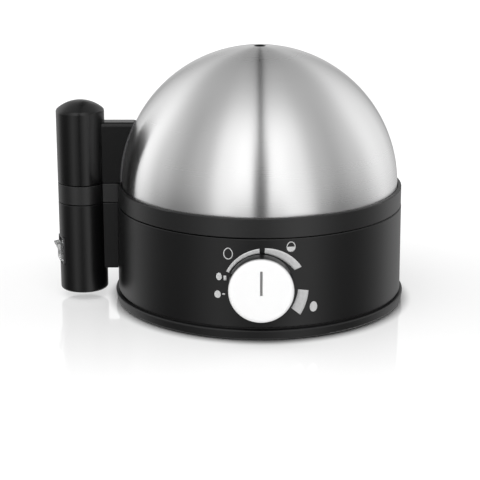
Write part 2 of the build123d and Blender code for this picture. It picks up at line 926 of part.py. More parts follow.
def base_handle():
    """Lower third of the handle, open at the top and cut out for the switch."""
    grip = grip_third(handle_bottom, seam_height, handle_bottom_round, handle_edge_round)
    grip += web_block(web_bottom, seam_height, wall_inner_radius, web_foot_round, handle_edge_round)
    reach = housing_bottom_radius + fit_gap
    body = turned(((0, 0), (reach, housing_bottom), (housing_top_radius + fit_gap, seam_height),
                   (housing_top_radius + fit_gap, seam_height + 1), (0, seam_height + 1)))
    grip -= body
    ledge = seam_height - cover_thickness
    grip -= handle_cylinder(handle_inner, ledge, seam_height + 1)
    grip -= handle_cylinder(handle_inner - cover_ledge, handle_bottom + handle_wall, ledge)
    grip -= block((-handle_offset, -wall_inner_radius), (-duct_width / 2, duct_width / 2),
                  (duct_bottom, duct_top))
    for height in handle_screw_heights:
        grip -= facing((-wall_inner_radius, 0, height), (-1, 0, 0)) * screw_hole(handle_screw_length)
    return grip - switch_window()


def switch_window():
    """Opening in the handle that the rocker switch snaps into."""
    side = switch_half_width + guide_gap
    end = switch_half_height + guide_gap
    return switch_frame * block((0, handle_radius + 1), (-side, side), (-end, end))


def locator(level, top):
    """Round stud that lines up the next third of the handle."""
    stud = handle_cylinder(stud_locator_radius, level, top)
    return chamfer(stud.edges().sort_by(Axis.Z)[-1], 0.8)


def base_handle_cover():
    """Lid of the lower third, with the stud that the tray drops over."""
    low = seam_height - cover_thickness
    cover = handle_cylinder(handle_inner - fit_gap, low, seam_height)
    return cover + locator(seam_height, seam_height + stud_locator_height)


def base_handle_screws():
    """Screws from inside the housing into the handle's web."""
    seat = wall_inner_radius - fit_gap
    return [facing((-seat, 0, height), (-1, 0, 0)) * screw(handle_screw_length)
            for height in handle_screw_heights]


def switch_body():
    """Case of the rocker switch, open at its face and pierced for the pivot."""
    case = block((switch_back, switch_face), (-switch_half_width, switch_half_width),
                 (-switch_half_height, switch_half_height))
    case = fillet(case.edges().filter_by(Axis.X), 0.8)
    side = switch_half_width - switch_side_wall
    end = switch_half_height - switch_end_wall
    case -= block((switch_well, switch_face + 1), (-side, side), (-end, end))
    pivot = facing((rocker_pivot, -switch_half_width - 1, 0), (0, 1, 0))
    case -= pivot * upright(rocker_pin_radius + fit_gap, 0, 2 * switch_half_width + 2)
    return switch_frame * case


def switch_terminals():
    """Three blades on the back of the switch."""
    blades = []
    for step in (-1, 0, 1):
        height = blade_pitch * step
        blade = block((switch_back - blade_length, switch_back), (-blade_width / 2, blade_width / 2),
                      (height - terminal_sheet / 2, height + terminal_sheet / 2))
        blades.append(switch_frame * blade)
    return blades


def indicator_lamp():
    """Small glow lamp in the well behind the rocker."""
    place = (switch_well + lamp_radius + fit_gap, 0)
    lamp = upright(lamp_radius, -lamp_length / 2, lamp_length / 2, place)
    seat = standing_block((fit_gap, 2.0, 3.0), (switch_well + fit_gap / 2, 0), -1.5)
    lamp += Pos(fit_gap / 2, 0, 0) * seat
    return switch_frame * lamp


def rocker_cap():
    """Translucent rocker with two leaning wings and a pin on each side."""
    lean = radians(rocker_tilt)
    tip_out = rocker_depth + rocker_wing * sin(lean)
    tip_up = rocker_wing * cos(lean)
    corners = (
        (rocker_depth, 0, 0),
        (tip_out, 0, tip_up),
        (0, 0, tip_up - 0.8),
        (-1.2, 0, 0),
        (0, 0, 0.8 - tip_up),
        (tip_out, 0, -tip_up),
    )
    rounds = (3.0, 0.7, 0.5, 1.0, 0.5, 0.7)
    outline = FilletPolyline(*corners, radius=rounds, close=True)
    half = switch_half_width - switch_side_wall - guide_gap
    cap = extrude(make_face(outline), half, both=True)
    pin = facing((0, -switch_half_width + 0.4, 0), (0, 1, 0))
    cap += pin * upright(rocker_pin_radius, 0, 2 * switch_half_width - 0.8)
    return switch_frame * (Pos(rocker_pivot, 0, 0) * (Rot(0, rocker_tilt, 0) * cap))


def tray_body():
    """Tray turned in one piece: plate, skirt, ledge for the dome and rim band."""
    points = (
        (0, tray_bottom),
        (skirt_inner_radius, tray_bottom),
        (skirt_inner_radius, skirt_bottom),
        (skirt_radius, skirt_bottom),
        (skirt_radius, ledge_top - ledge_thickness),
        (band_inner_radius - fit_gap, ledge_top - ledge_thickness),
        (band_inner_radius - fit_gap, band_bottom),
        (band_radius, band_bottom),
        (band_radius, band_top),
        (band_inner_radius, band_top),
        (band_inner_radius, ledge_top),
        (skirt_inner_radius, ledge_top),
        (skirt_inner_radius, tray_top),
        (0, tray_top),
    )
    rounds = [0] * len(points)
    rounds[7] = 0.5
    rounds[8] = 0.8
    rounds[9] = 0.5
    rounds[11] = 1.0
    rounds[12] = 2.0
    return turned(points, rounds)


def egg_places():
    """One place in the middle and six on a hexagon."""
    return [(0, 0)] + [around(egg_pitch, 360 / egg_count * step) for step in range(egg_count)]


def egg_collars(tray):
    """Round each egg hole: a raised collar with three notches for steam."""
    outer = egg_hole_radius + collar_wall
    top = tray_top + collar_height
    for index, place in enumerate(egg_places()):
        collar = upright(outer, tray_top - 1, top)
        for step in range(3):
            notch = block((egg_hole_radius - 2, outer + 1), (-collar_notch / 2, collar_notch / 2),
                          (tray_top, top + 1))
            collar -= Rot(0, 0, 120 * step + 60 * (index % 2)) * notch
        tray += Pos(*place, 0) * collar
    for place in egg_places():
        tray -= upright(egg_hole_radius, tray_bottom - 1, top + 1, place)
    return tray


def steam_openings(tray):
    """Small round holes between the eggs and long slots near the skirt."""
    slot = extrude(SlotOverall(steam_slot_length, steam_slot_width), band_top)
    for step in range(egg_count):
        angle = 360 / egg_count * (step + 0.5)
        tray -= upright(steam_hole_radius, 0, band_top, around(egg_pitch / sqrt(3), angle))
        tray -= Rot(0, 0, angle) * (Pos(steam_slot_circle, 0, 0) * (Rot(0, 0, 90) * slot))
    return tray


def tray_handle():
    """Middle third of the handle, cored from below round a socket."""
    grip = grip_third(band_bottom, band_top, handle_edge_round, handle_edge_round)
    grip += web_block(band_bottom, band_top, band_inner_radius, handle_edge_round, handle_edge_round)
    grip -= upright(band_radius - band_wall / 2, 0, web_top)
    socket_radius = stud_locator_radius + guide_gap
    core = handle_cylinder(handle_inner, band_bottom - 1, band_top - handle_wall)
    core -= handle_cylinder(socket_radius + locator_wall, 0, band_top)
    for angle in (45, 135):
        rib = block((-handle_inner, handle_inner), (-1, 1), (0, band_top))
        core -= Pos(-handle_offset, 0, 0) * (Rot(0, 0, angle) * rib)
    grip -= core
    socket_top = seam_height + stud_locator_height + guide_gap
    grip -= handle_cylinder(socket_radius, band_bottom - 1, socket_top)
    return grip + locator(band_top, band_top + stud_locator_height)


def egg_tray():
    """Lift-out tray: one moulding with collars, steam openings and handle."""
    tray = steam_openings(egg_collars(tray_body()))
    return tray + tray_handle()


def lid_dome():
    """Spun steel dome with a hemmed rim and a steam hole at the top."""
    outer, inner = dome_radius, dome_radius - dome_sheet
    hem = dome_radius - 2 * dome_sheet
    outer_top = dome_centre + sqrt(outer ** 2 - vent_hole_radius ** 2)
    inner_top = dome_centre + sqrt(inner ** 2 - vent_hole_radius ** 2)
    half = sqrt(0.5)
    hem_top = dome_bottom + hem_height
    outline = [
        Line((outer, 0, dome_bottom), (outer, 0, dome_centre)),
        ThreePointArc((outer, 0, dome_centre), (outer * half, 0, dome_centre + outer * half),
                      (vent_hole_radius, 0, outer_top)),
        Line((vent_hole_radius, 0, outer_top), (vent_hole_radius, 0, inner_top)),
        ThreePointArc((vent_hole_radius, 0, inner_top),
                      (inner * half, 0, dome_centre + inner * half), (inner, 0, dome_centre)),
        Polyline((inner, 0, dome_centre), (inner, 0, hem_top), (hem, 0, hem_top),
                 (hem, 0, dome_bottom), (outer, 0, dome_bottom)),
    ]
    dome = revolve(make_face(outline), Axis.Z)
    for elevation in lid_screw_elevations:
        dome -= lid_screw_frame(elevation) * upright(screw_radius + guide_gap, -4, 4)
    return dome


def lid_screw_frame(elevation):
    """Frame on the dome's inner face at an elevation, with +Z straight out."""
    lean = radians(elevation)
    inner = dome_radius - dome_sheet
    out = Vector(-cos(lean), 0, sin(lean))
    return facing(Vector(0, 0, dome_centre) + out * inner, out)


def domed_grip():
    """The upper third's grip, with a low domed end and a soft shoulder under it."""
    grip = handle_cylinder(handle_radius, lid_handle_bottom, cap_rim_height + cap_rise)
    cap_sphere = (handle_radius ** 2 + cap_rise ** 2) / (2 * cap_rise)
    cap = Pos(-handle_offset, 0, cap_rim_height + cap_rise - cap_sphere) * Sphere(cap_sphere)
    grip &= cap + handle_cylinder(2 * handle_radius, 0, cap_rim_height)
    rim = grip.edges().filter_by_position(Axis.Z, cap_rim_height - 0.1, cap_rim_height + 0.1)
    grip = fillet(rim, handle_shoulder_round)
    return fillet(grip.edges().sort_by(Axis.Z)[0], handle_edge_round)


def lid_handle():
    """Upper third of the handle: domed grip, web and a foot that fits the dome."""
    grip = domed_grip()
    grip += web_block(lid_handle_bottom, web_top, dome_radius / 2, handle_edge_round, web_top_round)
    grip -= Pos(0, 0, dome_centre) * Sphere(dome_radius + pad_thickness + fit_gap / 2)
    ledge = lid_handle_bottom + cover_thickness
    grip -= handle_cylinder(handle_inner, 0, ledge)
    grip -= handle_cylinder(handle_inner - cover_ledge, ledge, cap_rim_height - handle_wall)
    for elevation in lid_screw_elevations:
        grip -= lid_screw_frame(elevation) * screw_hole(lid_screw_length)
    return grip


def lid_handle_cover():
    """Plug in the bottom of the upper third, with the socket for the tray's stud."""
    ledge = lid_handle_bottom + cover_thickness
    plug = handle_cylinder(handle_inner - fit_gap, lid_handle_bottom, ledge)
    return plug - handle_cylinder(stud_locator_radius + guide_gap, 0, ledge + 1)


def lid_handle_gasket():
    """Thin pad between the dome and the foot of the handle's web."""
    half = web_thickness / 2 - pad_inset
    inner = Sphere(dome_radius + fit_gap / 2)
    pad = Pos(0, 0, dome_centre) * (Sphere(dome_radius + pad_thickness) - inner)
    pad &= block((-2 * dome_radius, -dome_radius / 2), (-half, half),
                 (lid_handle_bottom + pad_inset, web_top - pad_inset))
    for elevation in lid_screw_elevations:
        pad -= lid_screw_frame(elevation) * upright(screw_radius + guide_gap, -4, 6)
    return pad


def lid_handle_screws():
    """Screws from inside the dome into the handle."""
    return [lid_screw_frame(elevation) * (Pos(0, 0, -fit_gap) * screw(lid_screw_length))
            for elevation in lid_screw_elevations]


os.makedirs("parts", exist_ok=True)

# Base
write("housing", housing())
write("base_plate", base_plate())
write("foot_ring", foot_ring())
write("base_plate_screws", *base_plate_screws())
write("cord_bushing", cord_bushing())
write("dish_gasket", dish_gasket())
write("heating_dish", heating_dish())
write("heater_plate", heater_plate())
write("heating_element", heating_element())
write("element_terminals", *element_terminals())
write("clamp_bridge", clamp_bridge())
write("bridge_screws", *bridge_screws())
write("clamp_nuts", *clamp_nuts())
write("heat_shield", heat_shield())
write("thermostat", thermostat())
write("thermal_fuse", thermal_fuse())
write("fuse_clip", fuse_clip())

# Electrics
write("power_board", power_board())
write("board_screws", *board_screws())
write("relay", standing_block(relay_size, relay_place, board_top))
write("transformer", standing_block(transformer_size, transformer_place, board_top))
write("capacitor", standing_block(capacitor_size, capacitor_place, board_top))
write("terminal_block", terminal_block())
write("buzzer", buzzer())
write("wiring_leads", *wiring_leads())
write("potentiometer", potentiometer())
write("potentiometer_nut", potentiometer_nut())
write("control_board", control_board())

# Lower handle and its switch
write("base_handle", base_handle())
write("base_handle_cover", base_handle_cover())
write("base_handle_screws", *base_handle_screws())
write("switch_body", switch_body())
write("switch_terminals", *switch_terminals())
write("indicator_lamp", indicator_lamp())
write("rocker_cap", rocker_cap())

# Knob
write("knob_cap", knob_cap())
write("knob_pointer", knob_pointer())
write("knob_shaft", knob_shaft())
write("knob_clip", knob_clip())

# Tray and lid
write("egg_tray", egg_tray())
write("lid_dome", lid_dome())
write("lid_handle", lid_handle())
write("lid_handle_cover", lid_handle_cover())
write("lid_handle_gasket", lid_handle_gasket())
write("lid_handle_screws", *lid_handle_screws())
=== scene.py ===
from math import radians, sqrt

import bpy
import numpy as np
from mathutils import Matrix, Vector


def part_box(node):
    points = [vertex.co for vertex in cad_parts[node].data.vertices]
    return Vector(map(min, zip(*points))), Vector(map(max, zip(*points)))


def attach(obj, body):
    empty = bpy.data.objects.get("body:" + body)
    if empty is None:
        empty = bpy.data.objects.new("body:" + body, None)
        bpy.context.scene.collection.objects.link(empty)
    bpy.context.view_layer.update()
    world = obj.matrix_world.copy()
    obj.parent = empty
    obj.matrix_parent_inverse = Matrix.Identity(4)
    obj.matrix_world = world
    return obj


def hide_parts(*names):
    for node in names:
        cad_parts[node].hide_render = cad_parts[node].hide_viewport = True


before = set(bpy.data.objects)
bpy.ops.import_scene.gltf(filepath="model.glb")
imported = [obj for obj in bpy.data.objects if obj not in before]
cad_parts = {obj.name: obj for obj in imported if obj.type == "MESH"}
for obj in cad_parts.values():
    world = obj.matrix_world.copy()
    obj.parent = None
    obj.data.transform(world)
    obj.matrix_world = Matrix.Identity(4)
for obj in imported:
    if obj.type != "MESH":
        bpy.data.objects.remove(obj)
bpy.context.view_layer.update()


# Studio
# The cooker stands on a pale glossy table that runs off into white. Two tall softboxes stand
# left and right of the camera with a narrow gap between them, and two more behind the cooker.
camera_place = (-0.012401, -0.961741, 0.314935)
camera_tilt = radians(73.85)
camera_lens = 115.9
lamp_size = 1.2
lamp_power = 8.6
lamp_place = (-0.3, -0.5, 1.3)
lamp_turn = (radians(22), radians(-13), 0)

# Table: its greys, and the distances from the cooker's axis over which its own glow sets in
table_size = 6.0
table_matt = (0.82, 0.82, 0.82, 1)
table_shaded = (0.55, 0.55, 0.55, 1)
mirror_share = 0.33
mirror_reach = 0.30
mirror_roughness = 0.06
contact_reach = (0.0915, 0.100)
table_lift = 0.63
far_reach = (0.6, 1.6)
far_lift = 0.5

# Heights of the mirrored direction, from -1 straight down to 1 straight up, over which one light
# gives way to the next, and over which the gap opens and its wide part closes again
side_height = (-0.21, -0.09)
crown_height = (0.5, 0.78)
roof_height = (0.86, 1.0)
roof_level = 0.46
gap_height = (-0.30, -0.15)
gap_back_rise = 0.65
wide_height = (0.28, 0.95)

# The gap's place and half widths as sideways parts of the direction, and how much it darkens
gap_place = 0.009
slit_half_width = (0.016, 0.048)
slit_darkness = 0.95
wide_half_width = (0.05, 0.15)
wide_darkness = 0.9

# Brightness round the horizon, as (degrees from the camera's side towards +X, level): what upright
# walls mirror, what the dome mirrors, and what the dome's crown mirrors
low_light = ((-180, 0.45), (-150, 0.6), (-125, 0.8), (-108, 0.38), (-95, 0.12), (-80, 0.03),
             (-60, 0.05), (-46, 0.35), (-31, 0.75), (-16, 0.25), (0, 0.02), (14, 0.32), (30, 1.05),
             (42, 0.95), (54, 0.3), (66, 0.06), (84, 0.06), (98, 0.24), (110, 0.42), (126, 0.8),
             (150, 0.6), (180, 0.45))
side_light = ((-180, 0.7), (-172, 0.6), (-163, 0.42), (-152, 0.7), (-138, 1.0), (-115, 1.3),
              (-92, 0.75), (-70, 0.5), (-50, 0.66), (-32, 1.22), (-15, 1.5), (2, 1.45), (17, 1.42),
              (32, 1.1), (52, 0.62), (68, 0.52), (90, 0.72), (115, 1.1), (138, 0.95), (152, 0.68),
              (163, 0.42), (172, 0.6), (180, 0.7))
crown_light = ((-180, 0.2), (-160, 0.45), (-115, 0.6), (-80, 0.45), (-60, 0.7), (-35, 1.35), (-15, 1.5),
               (15, 1.5), (35, 1.35), (60, 0.7), (80, 0.5), (115, 0.6), (160, 0.45), (180, 0.2))


def node_at(tree, kind, **settings):
    """Add a node and set its plain properties and its inputs by name."""
    node = tree.nodes.new(kind)
    for name, value in settings.items():
        if hasattr(node, name):
            setattr(node, name, value)
        else:
            node.inputs[name.replace("_", " ")].default_value = value
    return node


def maths(tree, operation, first, second=None, third=None):
    """A Math node fed by sockets or plain numbers. Returns its output."""
    node = tree.nodes.new("ShaderNodeMath")
    node.operation = operation
    for socket, value in zip(node.inputs, (first, second, third)):
        if isinstance(value, bpy.types.NodeSocket):
            tree.links.new(value, socket)
        elif value is not None:
            socket.default_value = value
    return node.outputs[0]


def soft_step(tree, value, low, high, start=0.0, end=1.0):
    """Goes smoothly from start to end while the value goes from low to high."""
    node = node_at(tree, "ShaderNodeMapRange", interpolation_type="SMOOTHSTEP")
    for name, number in (("From Min", low), ("From Max", high), ("To Min", start), ("To Max", end)):
        node.inputs[name].default_value = number
    tree.links.new(value, node.inputs["Value"])
    return node.outputs[0]


def blended(tree, share, first, second, blend="MIX"):
    """A colour mix of two sockets or plain colours. Returns its output."""
    node = node_at(tree, "ShaderNodeMix", data_type="RGBA", blend_type=blend)
    for socket, value in zip((node.inputs[0], node.inputs[6], node.inputs[7]), (share, first, second)):
        if isinstance(value, bpy.types.NodeSocket):
            tree.links.new(value, socket)
        else:
            socket.default_value = value
    return node.outputs[2]


def ring_of_light(tree, turn, stops):
    """A ramp over the turn round the horizon, smooth from stop to stop."""
    ramp = tree.nodes.new("ShaderNodeValToRGB")
    ramp.color_ramp.interpolation = "EASE"
    points = ramp.color_ramp.elements
    while len(points) < len(stops):
        points.new(0.5)
    for point, (angle, level) in zip(points, stops):
        point.position = angle / 360 + 0.5
        point.color = (level, level, level, 1)
    tree.links.new(turn, ramp.inputs["Fac"])
    return ramp.outputs["Color"]


def studio_light():
    """White for the camera, and the softboxes for everything else."""
    world = bpy.data.worlds.new("studio")
    world.use_nodes = True
    bpy.context.scene.world = world
    tree = world.node_tree
    tree.nodes.clear()
    way = tree.nodes.new("ShaderNodeTexCoord")
    split = tree.nodes.new("ShaderNodeSeparateXYZ")
    tree.links.new(way.outputs["Generated"], split.inputs[0])
    x, y, z = split.outputs
    turn = maths(tree, "DIVIDE", maths(tree, "ARCTAN2", x, maths(tree, "MULTIPLY", y, -1)), radians(360))
    turn = maths(tree, "ADD", turn, 0.5)
    rings = [ring_of_light(tree, turn, stops) for stops in (low_light, side_light, crown_light)]
    sides = blended(tree, soft_step(tree, z, *side_height), *rings[:2])
    sides = blended(tree, soft_step(tree, z, *crown_height), sides, rings[2])
    roof = (roof_level, roof_level, roof_level, 1)
    roofed = blended(tree, soft_step(tree, z, *roof_height), sides, roof)
    across = maths(tree, "ABSOLUTE", maths(tree, "SUBTRACT", x, gap_place))
    slit = soft_step(tree, across, *slit_half_width, slit_darkness, 0.0)
    wide = maths(tree, "MULTIPLY", soft_step(tree, across, *wide_half_width, wide_darkness, 0.0),
                 soft_step(tree, z, *wide_height, 1.0, 0.0))
    behind = maths(tree, "GREATER_THAN", y, 0.0)
    height = maths(tree, "MULTIPLY_ADD", behind, -gap_back_rise, z)
    gap = maths(tree, "MULTIPLY", maths(tree, "MAXIMUM", slit, wide),
                soft_step(tree, height, *gap_height))
    light = tree.nodes.new("ShaderNodeBackground")
    tree.links.new(roofed, light.inputs["Color"])
    tree.links.new(maths(tree, "SUBTRACT", 1.0, gap), light.inputs["Strength"])
    white = node_at(tree, "ShaderNodeBackground", Color=(1, 1, 1, 1))
    path = tree.nodes.new("ShaderNodeLightPath")
    seen = tree.nodes.new("ShaderNodeMixShader")
    tree.links.new(path.outputs["Is Camera Ray"], seen.inputs["Fac"])
    tree.links.new(light.outputs[0], seen.inputs[1])
    tree.links.new(white.outputs[0], seen.inputs[2])
    out = tree.nodes.new("ShaderNodeOutputWorld")
    tree.links.new(seen.outputs[0], out.inputs["Surface"])


def either(tree, share, first, second):
    """A Mix Shader of two shaders. Returns its output."""
    node = tree.nodes.new("ShaderNodeMixShader")
    tree.links.new(share, node.inputs["Fac"])
    tree.links.new(first, node.inputs[1])
    tree.links.new(second, node.inputs[2])
    return node.outputs[0]


def table_material():
    """White table: it keeps the shadow, mirrors near the cooker and runs off into white. Glossy rays
    pass through it, so metal mirrors the room instead."""
    material = bpy.data.materials.new("table_white")
    material.use_nodes = True
    tree = material.node_tree
    tree.nodes.clear()
    place = tree.nodes.new("ShaderNodeTexCoord").outputs["Object"]
    split = tree.nodes.new("ShaderNodeSeparateXYZ")
    tree.links.new(place, split.inputs[0])
    depth = maths(tree, "ABSOLUTE", split.outputs["Y"])
    fade = soft_step(tree, depth, 0.0, mirror_reach, mirror_share, 0.0)
    matt = node_at(tree, "ShaderNodeBsdfDiffuse", Color=table_matt)
    shaded = node_at(tree, "ShaderNodeBsdfDiffuse", Color=table_shaded)
    lift = node_at(tree, "ShaderNodeEmission", Color=(1, 1, 1, 1))
    away = node_at(tree, "ShaderNodeVectorMath", operation="LENGTH")
    tree.links.new(place, away.inputs[0])
    distance = away.outputs["Value"]
    near = soft_step(tree, distance, *contact_reach, 0.0, table_lift)
    far = soft_step(tree, distance, *far_reach, 0.0, far_lift)
    tree.links.new(maths(tree, "ADD", near, far), lift.inputs["Strength"])
    bright = tree.nodes.new("ShaderNodeAddShader")
    tree.links.new(shaded.outputs[0], bright.inputs[0])
    tree.links.new(lift.outputs[0], bright.inputs[1])
    mirror = node_at(tree, "ShaderNodeBsdfAnisotropic", Color=(1, 1, 1, 1),
                     Roughness=mirror_roughness)
    path = tree.nodes.new("ShaderNodeLightPath")
    polished = either(tree, fade, bright.outputs[0], mirror.outputs[0])
    seen = either(tree, path.outputs["Is Camera Ray"], matt.outputs[0], polished)
    open_below = maths(tree, "MAXIMUM", path.outputs["Is Glossy Ray"],
                       tree.nodes.new("ShaderNodeNewGeometry").outputs["Backfacing"])
    clear = tree.nodes.new("ShaderNodeBsdfTransparent")
    out = tree.nodes.new("ShaderNodeOutputMaterial")
    tree.links.new(either(tree, open_below, seen, clear.outputs[0]), out.inputs["Surface"])
    return material


def build_piece(name, points, faces, smooth_angle=40):
    """A mesh object from whole arrays of points and faces, smooth except at sharp corners."""
    mesh = bpy.data.meshes.new(name)
    mesh.from_pydata(points.tolist(), [], faces.tolist())
    mesh.shade_smooth()
    mesh.set_sharp_from_angle(angle=radians(smooth_angle))
    piece = bpy.data.objects.new(name, mesh)
    bpy.context.scene.collection.objects.link(piece)
    return piece


studio_light()
half = table_size / 2
table_top = build_piece("table_top", np.array([(-half, -half, 0), (half, -half, 0), (half, half, 0),
                                               (-half, half, 0)]), np.array([(0, 1, 2, 3)]))
table_top.data.materials.append(table_material())

lamp = bpy.data.lights.new("overhead", "AREA")
lamp.size = lamp_size
lamp.energy = lamp_power
lamp_object = bpy.data.objects.new("overhead", lamp)
lamp_object.location = lamp_place
lamp_object.rotation_euler = lamp_turn
lamp_object.visible_glossy = False
bpy.context.scene.collection.objects.link(lamp_object)

camera = bpy.data.objects.new("camera", bpy.data.cameras.new("camera"))
camera.location = camera_place
camera.rotation_euler = (camera_tilt, 0, 0)
camera.data.lens = camera_lens
camera.data.clip_start = 0.01
bpy.context.scene.collection.objects.link(camera)
bpy.context.scene.camera = camera
bpy.context.scene.view_settings.view_transform = "Standard"


# Base plate, foot ring and grommet
# The plate is one black polypropylene moulding with a spark-eroded grain. The foot ring and the
# grommet are matt rubber, pressed into the plate, and four zinc plated screws go in from below.
plate_black = (0.0045, 0.0045, 0.0048)
rubber_black = (0.012, 0.012, 0.0125)
zinc_grey = (0.62, 0.63, 0.66)
patch_weight = 0.6


def surface_group():
    """Shared skin of every finish: slow patches in tone and gloss, and a grain for the bump."""
    group = bpy.data.node_groups.new("worked_skin", "ShaderNodeTree")
    wanted = (("Place", "NodeSocketVector"), ("Grain", "NodeSocketVector"), ("Patches", "NodeSocketFloat"),
              ("Tone Spread", "NodeSocketFloat"), ("Roughness", "NodeSocketFloat"),
              ("Gloss Spread", "NodeSocketFloat"))
    for name, kind in wanted:
        group.interface.new_socket(name=name, in_out="INPUT", socket_type=kind)
    for name in ("Tone", "Roughness", "Height"):
        group.interface.new_socket(name=name, in_out="OUTPUT", socket_type="NodeSocketFloat")
    given = group.nodes.new("NodeGroupInput")
    scaled = node_at(group, "ShaderNodeVectorMath", operation="MULTIPLY")
    group.links.new(given.outputs["Place"], scaled.inputs[0])
    group.links.new(given.outputs["Grain"], scaled.inputs[1])
    grain = node_at(group, "ShaderNodeTexNoise", Scale=1.0, Detail=3.0, Roughness=0.55)
    group.links.new(scaled.outputs[0], grain.inputs["Vector"])
    patches = node_at(group, "ShaderNodeTexNoise", Detail=2.0, Roughness=0.5)
    group.links.new(given.outputs["Place"], patches.inputs["Vector"])
    group.links.new(given.outputs["Patches"], patches.inputs["Scale"])
    mixed = maths(group, "ADD", maths(group, "MULTIPLY", patches.outputs[0], patch_weight),
                  maths(group, "MULTIPLY", grain.outputs[0], 1 - patch_weight))
    centred = maths(group, "SUBTRACT", mixed, 0.5)
    result = group.nodes.new("NodeGroupOutput")
    tone = maths(group, "MULTIPLY_ADD", centred, given.outputs["Tone Spread"], 1.0)
    gloss = maths(group, "MULTIPLY_ADD", centred, given.outputs["Gloss Spread"], given.outputs["Roughness"])
    group.links.new(tone, result.inputs["Tone"])
    group.links.new(gloss, result.inputs["Roughness"])
    group.links.new(grain.outputs[0], result.inputs["Height"])
    return group


worked_skin = surface_group()


def finish_of(name, colour, roughness, grain, depth, patches=14.0, tone=0.25, spread=0.12, place="Object",
              **sockets):
    """A finish with patches and grain. Grain is lines or grains per metre along X, Y and Z, depth is
    the grain's height in metres, and plain sockets keep their one value on the shader."""
    material = bpy.data.materials.new(name)
    material.use_nodes = True
    tree = material.node_tree
    shader = tree.nodes["Principled BSDF"]
    for socket, value in sockets.items():
        shader.inputs[socket.replace("_", " ")].default_value = value
    skin = tree.nodes.new("ShaderNodeGroup")
    skin.node_tree = worked_skin
    if place == "Object":
        source = tree.nodes.new("ShaderNodeTexCoord").outputs["Object"]
    else:
        source = node_at(tree, "ShaderNodeAttribute", attribute_name=place).outputs["Vector"]
    tree.links.new(source, skin.inputs["Place"])
    values = {"Grain": grain, "Patches": patches, "Tone Spread": tone, "Roughness": roughness,
              "Gloss Spread": spread}
    for socket, value in values.items():
        skin.inputs[socket].default_value = value
    tinted = blended(tree, 1.0, (*colour, 1), skin.outputs["Tone"], "MULTIPLY")
    tree.links.new(tinted, shader.inputs["Base Color"])
    tree.links.new(skin.outputs["Roughness"], shader.inputs["Roughness"])
    bump = node_at(tree, "ShaderNodeBump", Strength=1.0, Distance=depth)
    tree.links.new(skin.outputs["Height"], bump.inputs["Height"])
    tree.links.new(bump.outputs[0], shader.inputs["Normal"])
    return material


def dress(material, *nodes):
    """Give CAD nodes a material."""
    for name in nodes:
        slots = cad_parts[name].data.materials
        slots.clear()
        slots.append(material)


zinc_plated = finish_of("zinc_plated", zinc_grey, 0.34, (900, 900, 900), 8e-6, patches=160, Metallic=1.0)
soft_rubber = finish_of("soft_rubber", rubber_black, 0.72, (1800, 1800, 1800), 3e-5)
dress(finish_of("plate_grain", plate_black, 0.44, (2400, 2400, 2400), 1.2e-5), "base_plate")
dress(soft_rubber, "foot_ring", "cord_bushing")
dress(zinc_plated, "base_plate_screws")


# Housing and its dial print
# The housing is moulded in satin black. The scale round the knob is pad printed in light grey:
# two bands that widen with the time, a block for hard eggs, and eggs from soft to hard.
housing_black = (0.0025, 0.0025, 0.0027)
print_grey = (0.62, 0.62, 0.62)
wall_levels = (0.0082, 0.063)
wall_radii = (0.0912, 0.0908)
dial_centre = 0.0355
ink_lift = 0.00006

# Bands about the dial's centre: degrees clockwise from the top, then inner and outer radius in mm
# at the start, the middle and the end
dial_bands = (
    ((-71, -2.5), (20.2, 18.9, 18.9), (22.0, 21.2, 21.9)),
    ((6, 68), (19.2, 19.2, 21.6), (22.3, 23.9, 26.3)),
    ((100, 130), (22.6, 23.2, 23.8), (29.3, 30.2, 31.1)),
)
# Eggs as (arc from the front centre, height, width, length) in mm, and the share that is filled
dial_eggs = (
    (-26.1, 28.2, 4.0, 4.7, 1.0),
    (-25.2, 39.3, 3.5, 4.7, 1.0),
    (-19.6, 53.8, 5.8, 7.2, 0.0),
    (17.8, 58.1, 5.5, 6.4, 0.5),
    (32.2, 19.9, 4.8, 6.5, 1.0),
)
# Short bars beside the small eggs: arc, height, width and length in mm
dial_bars = ((-22.3, 28.6, 1.7, 0.9), (-21.5, 38.6, 1.7, 2.9))
egg_line = 0.55
seam_reach = 1e-6


def grid_faces(rows, columns, first=0):
    """Quads between neighbours on a grid whose points are numbered row by row."""
    row, column = np.meshgrid(np.arange(rows - 1), np.arange(columns - 1), indexing="ij")
    corner = (first + row * columns + column).ravel()
    return np.stack([corner, corner + columns, corner + columns + 1, corner + 1], 1)


def on_wall(across, height):
    """Points just outside the tapered wall, in metres. Across is an arc in mm from the front centre
    towards +X: the turn about the upright axis is that arc divided by the wall's radius there."""
    height = height * 0.001
    radius = np.interp(height, wall_levels, wall_radii) + ink_lift
    turn = across * 0.001 / radius
    return np.stack([radius * np.sin(turn), -radius * np.cos(turn), height], -1)


def through(share, start, middle, end):
    """The parabola through three values at shares 0, a half and 1."""
    return start * (1 - share) * (1 - 2 * share) + 4 * middle * share * (1 - share) \
        + end * share * (2 * share - 1)


def band_patch(angles, inner, outer):
    """A band about the dial's centre: a grid over the turn and over the way from the inner to the
    outer edge, each edge's radius a parabola over the turn."""
    share, out = np.meshgrid(np.linspace(0, 1, 40), np.linspace(0, 1, 5), indexing="ij")
    turn = np.radians(angles[0] + share * (angles[1] - angles[0]))
    radius = (1 - out) * through(share, *inner) + out * through(share, *outer)
    return on_wall(radius * np.sin(turn), dial_centre * 1000 + radius * np.cos(turn))


